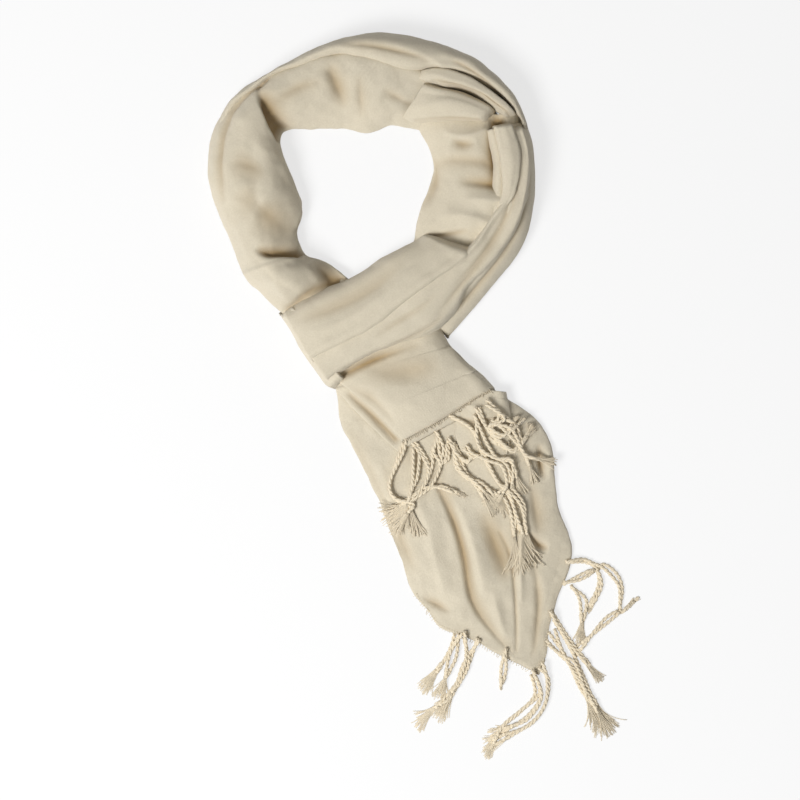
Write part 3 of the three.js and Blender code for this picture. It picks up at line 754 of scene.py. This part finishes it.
shortFringe = {
    "short_fringe_left": [
        {"route": [[-7, -33], [4, -52], [0, -68], [-12, -79]], "brush": 26},
        {"route": [[-3, -43], [-5, -62], [-9, -71], [-12, -82]], "brush": 22},
        {"route": [[13, -31], [7, -40], [7, -52], [1, -68], [-11, -83]], "brush": 28},
        {"route": [[-16, -34], [-21, -48], [-27, -68], [-23, -79], [-12, -84], [-10, -88]], "brush": 24},
        {"route": [[2, -72], [14, -69], [27, -74]], "brush": 8},
        {"hem": [[-17, -34], [3, -23], [21, -13], [40, 1], [56, 8]]},
    ],
    "short_fringe_middle": [
        {"route": [[11, -26], [13, -44], [16, -50], [20, -46], [19, -32]], "brush": 0},
        {"route": [[20, -30], [26, -42], [34, -50], [38, -44], [34, -36]], "brush": 0},
        {"route": [[22, -14], [38, -23], [47, -44], [58, -64], [66, -72], [72, -88], [73, -102]],
         "brush": 10},
        {"route": [[36, -47], [52, -44], [66, -52], [68, -64], [60, -74]], "brush": 16},
        {"route": [[28, -40], [34, -58], [46, -68], [60, -76]], "brush": 22},
        {"route": [[24, -34], [26, -54], [38, -64], [48, -78]], "brush": 18},
    ],
    "short_fringe_right": [
        {"route": [[60, -10], [72, -20], [78, -34], [70, -40], [60, -36]], "brush": 14},
        {"route": [[54, -16], [66, -26], [78, -40], [84, -52]], "brush": 18},
        {"route": [[66, -74], [72, -86], [76, -104]], "brush": 34},
        {"route": [[50, 0], [60, -12], [54, -24], [62, -30], [70, -20]], "brush": 10},
        {"route": [[44, -6], [50, -22], [60, -34], [72, -40], [82, -30]], "brush": 12},
        {"route": [[40, -12], [50, -34], [58, -46], [70, -50], [74, -62]], "brush": 16},
        {"route": [[70, -70], [80, -84], [80, -104]], "brush": 30},
    ],
}
longFringe = {
    "long_fringe_left": [
        {"route": [[25, -187], [21, -200], [11, -218]], "brush": 22},
        {"route": [[32, -190], [36, -212], [25, -232]], "brush": 28},
        {"route": [[43, -190], [36, -212], [24, -230], [10, -246]], "brush": 26},
        {"route": [[28, -188], [26, -206], [18, -222]], "brush": 20},
        {"hem": [[-6, -156], [4, -170], [14, -181], [30, -188], [60, -204], [90, -219]]},
    ],
    "long_fringe_middle": [
        {"route": [[65, -200], [66, -216], [63, -227]], "brush": 4},
        {"route": [[92, -214], [100, -224], [97, -244], [85, -260], [64, -268]], "brush": 18},
        {"route": [[86, -220], [89, -236], [77, -250], [65, -260], [56, -272]], "brush": 14},
        {"route": [[88, -218], [94, -236], [84, -252], [70, -262]], "brush": 20},
    ],
    "long_fringe_right": [
        {"route": [[103, -170], [117, -192], [133, -212]], "brush": 18},
        {"route": [[98, -192], [109, -204], [121, -216], [131, -240]], "brush": 26},
        {"route": [[104, -176], [118, -200], [130, -226], [136, -244]], "brush": 28},
        {"route": [[100, -186], [114, -206], [126, -232], [138, -246]], "brush": 24},
    ],
    "long_fringe_side": [
        {"route": [[115, -130], [129, -130], [138, -135], [140, -148], [133, -164]], "brush": 8},
        {"route": [[112, -146], [125, -144], [135, -138]], "brush": 6},
        {"route": [[136, -135], [145, -132], [155, -140], [159, -152], [157, -170], [168, -162]],
         "brush": 6},
        {"route": [[157, -170], [145, -180], [127, -194]], "brush": 10},
        {"route": [[118, -150], [130, -160], [128, -176]], "brush": 20},
    ],
}


def tube(form, path, radius, sides):
    path = [Vector(point) for point in path]
    rings = []
    for index, point in enumerate(path):
        ahead = path[min(index + 1, len(path) - 1)] - path[max(index - 1, 0)]
        first = ahead.cross(Vector((0, 0, 1))).normalized()
        second = ahead.cross(first).normalized()
        ring = []
        for side in range(sides):
            angle = side * math.tau / sides
            offset = (first * math.cos(angle) + second * math.sin(angle)) * radius
            ring.append(form.verts.new((point + offset) * mm))
        rings.append(ring)
    for low, high in zip(rings, rings[1:]):
        for side in range(sides):
            after = (side + 1) % sides
            form.faces.new((low[side], low[after], high[after], high[side])).smooth = True
    form.faces.new(rings[0][::-1])
    form.faces.new(rings[-1])


def liftRoute(route, trees, extra):
    heights = np.array([surfaceBelow(trees, x, y) for x, y in route])
    padded = np.pad(heights, 5, mode="edge")
    smooth = np.max([padded[k:k + len(heights)] for k in range(11)], axis=0)
    blend = np.convolve(np.pad(smooth, 4, mode="edge"), np.ones(9) / 9, mode="valid")
    return np.column_stack([route, blend + extra])


def twistStrand(form, path, sizes):
    run = np.concatenate([[0], np.cumsum(np.linalg.norm(np.diff(path, axis=0), axis=1))])
    ahead = np.gradient(path[:, :2], axis=0)
    aside = np.column_stack([ahead[:, 1], -ahead[:, 0]]) / np.linalg.norm(ahead, axis=1, keepdims=True)
    for start in (0, math.pi):
        turn = run * math.tau / sizes["pitch"] + start
        ply = path.copy()
        ply[:, :2] += aside * (np.cos(turn) * sizes["twist"])[:, None]
        ply[:, 2] += np.sin(turn) * sizes["twist"]
        tube(form, ply, sizes["ply"], sizes["sides"])


def brushEnd(form, path, length, sizes, dice):
    tip, ahead = path[-1], path[-1] - path[-4]
    heading = math.atan2(ahead[1], ahead[0])
    for hair in range(sizes["hairs"]):
        way = heading + dice.gauss(0, 0.10)
        bend = dice.gauss(0, 0.012)
        reach = length * dice.uniform(0.55, 1.0)
        point = np.array(tip) + np.array([dice.gauss(0, 0.5), dice.gauss(0, 0.5), 0])
        line = [point.copy()]
        for step in range(7):
            way += bend * reach / 7
            point += np.array([math.cos(way), math.sin(way), 0]) * reach / 7
            point[2] = max(point[2] - 0.5, 0.5 + surfaceBelow(list(laid.values()), point[0], point[1]))
            line.append(point.copy())
        tube(form, line, sizes["fibre"] * 1.6, 3)


def frayHem(form, line, trees, dice):
    points = evenly(np.array(line, float) + planShift, 55)
    for point, after in zip(points, points[1:]):
        ahead = (after - point) / np.linalg.norm(after - point)
        reach = dice.uniform(1.0, 2.8)
        tip = point + (np.array([ahead[1], -ahead[0]]) + ahead * dice.gauss(0, 0.3)) * reach
        root = point - (tip - point) * 0.5
        ends = [[*spot, surfaceBelow(trees, *spot) + 0.4] for spot in (root, point, tip)]
        tube(form, ends, 0.3, 3)


# each strand has a second one straying beside it
def paired(strands, dice):
    for strand in strands:
        yield strand
        if "route" in strand:
            away = fringeSizes["pairStray"]
            stray = [[x + dice.gauss(0, away), y + dice.gauss(0, away)] for x, y in strand["route"]]
            yield {"route": stray, "brush": strand["brush"]}


def layFringe(name, strands, seed):
    dice = random.Random(seed)
    form = bmesh.new()
    trees = [laid[other] for other in ("longTail", "shortHemFlap")]
    for order, strand in enumerate(paired(strands, dice)):
        if "hem" in strand:
            frayHem(form, strand["hem"], list(laid.values()), dice)
            continue
        control = np.array(strand["route"], float) + planShift
        count = int(np.linalg.norm(np.diff(control, axis=0), axis=1).sum() / fringeSizes["step"])
        path = liftRoute(evenly(control, max(count, 8)), trees, 1.3 + 0.7 * (order % 4))
        twistStrand(form, path, fringeSizes)
        if strand["brush"]:
            knot = {**fringeSizes, "ply": 1.2, "twist": 1.1, "pitch": 2.6}
            twistStrand(form, path[-6:], knot)
            brushEnd(form, path, strand["brush"], fringeSizes, dice)
    form.normal_update()
    mesh = bpy.data.meshes.new(name)
    bmesh.ops.recalc_face_normals(form, faces=form.faces)
    form.to_mesh(mesh)
    form.free()
    mesh.materials.append(yarnMaterial)
    piece = bpy.data.objects.new(name, mesh)
    scene.collection.objects.link(piece)
    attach(piece, "root")
    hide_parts(name)
    print("fringe", name, len(mesh.polygons))


for order, (name, strands) in enumerate({**shortFringe, **longFringe}.items()):
    layFringe(name, strands, 40 + order)


# the pale table under it, and its light
studio = {"floor": 6.0, "lampSize": 0.8, "lampHeight": 1.7, "lampWatts": 43,
          "lampLeft": 1.1, "lampBack": -0.8,
          "sky": 0.30, "floorShade": 0.9, "whiteShare": 0.7}


def floorFinish():
    finish = Finish("table")
    rays = finish.node("ShaderNodeLightPath")
    seen = Wire(rays.outputs["Is Camera Ray"])
    for name in ("Is Glossy Ray", "Is Transmission Ray"):
        seen = seen.maths("MAXIMUM", seen, Wire(rays.outputs[name]))
    paint = finish.wire("ShaderNodeBsdfDiffuse", 0, None, {"Color": (*[studio["floorShade"]] * 3, 1)})
    glow = finish.wire("ShaderNodeEmission", 0, None, {"Color": (1, 1, 1, 1), "Strength": 1.0})
    mixed = finish.wire("ShaderNodeMixShader", 0, None, {0: seen * studio["whiteShare"], 1: paint, 2: glow})
    finish.node("ShaderNodeOutputMaterial", None, {"Surface": mixed})
    return finish.material


floorForm = bmesh.new()
bmesh.ops.create_grid(floorForm, x_segments=1, y_segments=1, size=studio["floor"] / 2)
floorMesh = bpy.data.meshes.new("table")
floorForm.to_mesh(floorMesh)
floorForm.free()
floorMesh.materials.append(floorFinish())
table = bpy.data.objects.new("table", floorMesh)
scene.collection.objects.link(table)

lampData = bpy.data.lights.new("softbox", "AREA")
lampData.size = studio["lampSize"]
lampData.energy = studio["lampWatts"]
lamp = bpy.data.objects.new("softbox", lampData)
lamp.location = (-studio["lampLeft"], studio["lampBack"], studio["lampHeight"])
lamp.rotation_euler = (Vector((0, 0, 0)) - Vector(lamp.location)).to_track_quat("-Z", "Y").to_euler()
scene.collection.objects.link(lamp)

world = bpy.data.worlds.new("studio")
world.use_nodes = True
world.node_tree.nodes["Background"].inputs["Strength"].default_value = studio["sky"]
world.node_tree.nodes["Background"].inputs["Color"].default_value = (1, 1, 1, 1)
scene.world = world
scene.view_settings.view_transform = "Standard"
print("studio ready")
